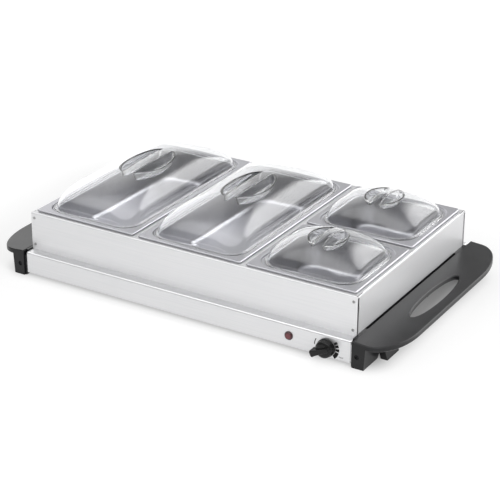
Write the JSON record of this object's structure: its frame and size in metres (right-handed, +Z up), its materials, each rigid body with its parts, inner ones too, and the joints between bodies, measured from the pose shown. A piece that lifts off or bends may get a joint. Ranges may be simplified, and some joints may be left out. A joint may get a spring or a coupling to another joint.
{
  "type": "buffet server",
  "caption": "Flat electric warming base with two carrying handles, a lift-off steel rack, hanging steel pans and a clear domed lid on each pan.",
  "frame": {"origin": "on the table, under the middle of the whole object", "axes": "+X to the right along the length, +Y to the back, +Z up; the dial faces -Y"},
  "size_m": [0.655, 0.3896, 0.137],
  "materials": {
    "base_steel": "bright satin stainless sheet",
    "rack_steel": "bright satin stainless sheet",
    "pan_steel": "smooth drawn stainless sheet with bright edges",
    "plated_steel": "zinc-plated steel",
    "blackened_steel": "blackened steel",
    "element_sheath": "oxidised steel sheath",
    "aluminium": "plain rolled aluminium",
    "handle_plastic": "fine-textured black moulding",
    "dial_plastic": "smooth black moulding",
    "clear_plastic": "clear glossy moulding",
    "red_lens": "clear red moulding",
    "pale_plastic": "plain heat-resistant moulding"
  },
  "bodies": {
    "base": {"base_shell": "base_steel", "bottom_cover": "plated_steel", "cover_screw_1": "plated_steel", "cover_screw_2": "plated_steel", "cover_screw_3": "plated_steel", "cover_screw_4": "plated_steel", "cover_screw_5": "plated_steel", "cover_screw_6": "plated_steel", "heat_spreader": "aluminium", "heating_element": "element_sheath", "element_clamp_1": "plated_steel", "element_clamp_2": "plated_steel", "element_clamp_3": "plated_steel", "heat_shield": "aluminium", "thermostat_bracket": "plated_steel", "thermostat_body": "pale_plastic", "indicator_lens": "red_lens", "indicator_body": "pale_plastic", "indicator_nut": "pale_plastic", "cord_gland": "dial_plastic", "terminal_block": "pale_plastic", "handle_right": "handle_plastic", "handle_left": "handle_plastic", "handle_screw_front_left": "blackened_steel", "handle_screw_front_right": "blackened_steel", "handle_screw_back_left": "blackened_steel", "handle_screw_back_right": "blackened_steel"},
    "dial": {"thermostat_shaft": "plated_steel", "control_knob": "dial_plastic"},
    "rack": {"rack_front_panel": "rack_steel", "rack_back_panel": "rack_steel", "rack_left_panel": "rack_steel", "rack_right_panel": "rack_steel", "rack_divider_left": "rack_steel", "rack_divider_right": "rack_steel", "rack_divider_short": "rack_steel", "rack_screw_front_1": "plated_steel", "rack_screw_front_2": "plated_steel", "rack_screw_front_3": "plated_steel", "rack_screw_front_4": "plated_steel", "rack_screw_back_1": "plated_steel", "rack_screw_back_2": "plated_steel", "rack_screw_back_3": "plated_steel", "rack_screw_back_4": "plated_steel"},
    "pan_left": {"pan_left": "pan_steel"},
    "lid_left": {"lid_left": "clear_plastic"},
    "pan_middle": {"pan_middle": "pan_steel"},
    "lid_middle": {"lid_middle": "clear_plastic"},
    "pan_front": {"pan_front": "pan_steel"},
    "lid_front": {"lid_front": "clear_plastic"},
    "pan_rear": {"pan_rear": "pan_steel"},
    "lid_rear": {"lid_rear": "clear_plastic"}
  },
  "joints": [
    {"name": "dial_turn", "type": "hinge", "parent": "base", "child": "dial", "pos_m": [0.23, -0.17815, 0.0187], "axis": [0, 1, 0], "range_deg": [0, 235]},
    {"name": "rack_lift", "type": "slide", "parent": "base", "child": "rack", "axis": [0, 0, 1], "range_m": [0, 0.09]},
    {"name": "pan_left_lift", "type": "slide", "parent": "rack", "child": "pan_left", "axis": [0, 0, 1], "range_m": [0, 0.09]},
    {"name": "pan_middle_lift", "type": "slide", "parent": "rack", "child": "pan_middle", "axis": [0, 0, 1], "range_m": [0, 0.09]},
    {"name": "pan_front_lift", "type": "slide", "parent": "rack", "child": "pan_front", "axis": [0, 0, 1], "range_m": [0, 0.09]},
    {"name": "pan_rear_lift", "type": "slide", "parent": "rack", "child": "pan_rear", "axis": [0, 0, 1], "range_m": [0, 0.09]},
    {"name": "lid_left_lift", "type": "slide", "parent": "pan_left", "child": "lid_left", "axis": [0, 0, 1], "range_m": [0, 0.08]},
    {"name": "lid_middle_lift", "type": "slide", "parent": "pan_middle", "child": "lid_middle", "axis": [0, 0, 1], "range_m": [0, 0.08]},
    {"name": "lid_front_lift", "type": "slide", "parent": "pan_front", "child": "lid_front", "axis": [0, 0, 1], "range_m": [0, 0.08]},
    {"name": "lid_rear_lift", "type": "slide", "parent": "pan_rear", "child": "lid_rear", "axis": [0, 0, 1], "range_m": [0, 0.08]}
  ]
}
